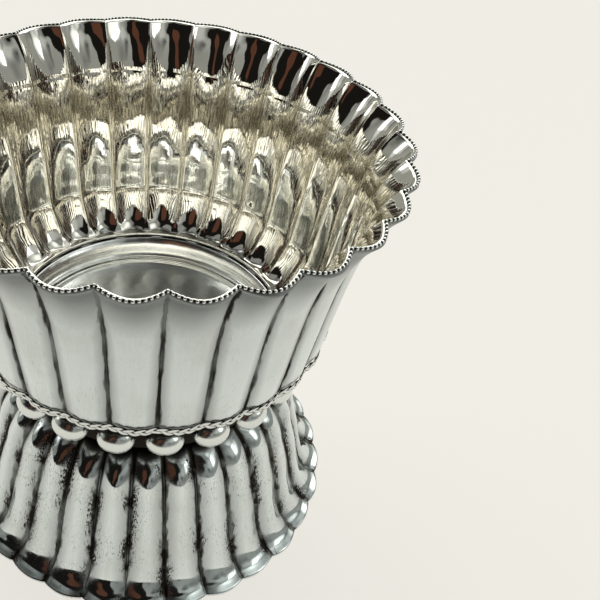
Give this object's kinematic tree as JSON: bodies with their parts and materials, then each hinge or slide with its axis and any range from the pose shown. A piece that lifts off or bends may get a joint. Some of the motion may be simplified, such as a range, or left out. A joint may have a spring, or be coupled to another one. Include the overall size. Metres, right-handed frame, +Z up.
{
  "type": "footed sugar bowl",
  "caption": "Footed sugar bowl of fluted silver sheet, with a scalloped beaded rim and a ring of oval beads between bowl and foot.",
  "frame": {"origin": "middle of the base, on the surface that the foot stands on", "axes": "+Z up along the bowl's axis; -Y is the front, +X to the right"},
  "size_m": [0.1124, 0.1124, 0.1116],
  "materials": {
    "silver_sheet": "polished sterling silver sheet, burnished inside, softer white polish outside, oxidised in the creases",
    "silver_wire": "sterling silver bead wire and plaited wire, darkened between the beads and strands",
    "silver_bead": "polished hollow silver beads"
  },
  "bodies": {
    "root": {"bowl": "silver_sheet", "floor_plate": "silver_sheet", "rim_bead_wire": "silver_wire", "plaited_wire": "silver_wire", "collar": "silver_sheet", "foot": "silver_sheet", "bead_01": "silver_bead", "bead_02": "silver_bead", "bead_03": "silver_bead", "bead_04": "silver_bead", "bead_05": "silver_bead", "bead_06": "silver_bead", "bead_07": "silver_bead", "bead_08": "silver_bead", "bead_09": "silver_bead", "bead_10": "silver_bead", "bead_11": "silver_bead", "bead_12": "silver_bead", "bead_13": "silver_bead", "bead_14": "silver_bead", "bead_15": "silver_bead", "bead_16": "silver_bead", "bead_17": "silver_bead", "bead_18": "silver_bead", "bead_19": "silver_bead", "bead_20": "silver_bead", "bead_21": "silver_bead", "bead_22": "silver_bead"}
  },
  "joints": []
}
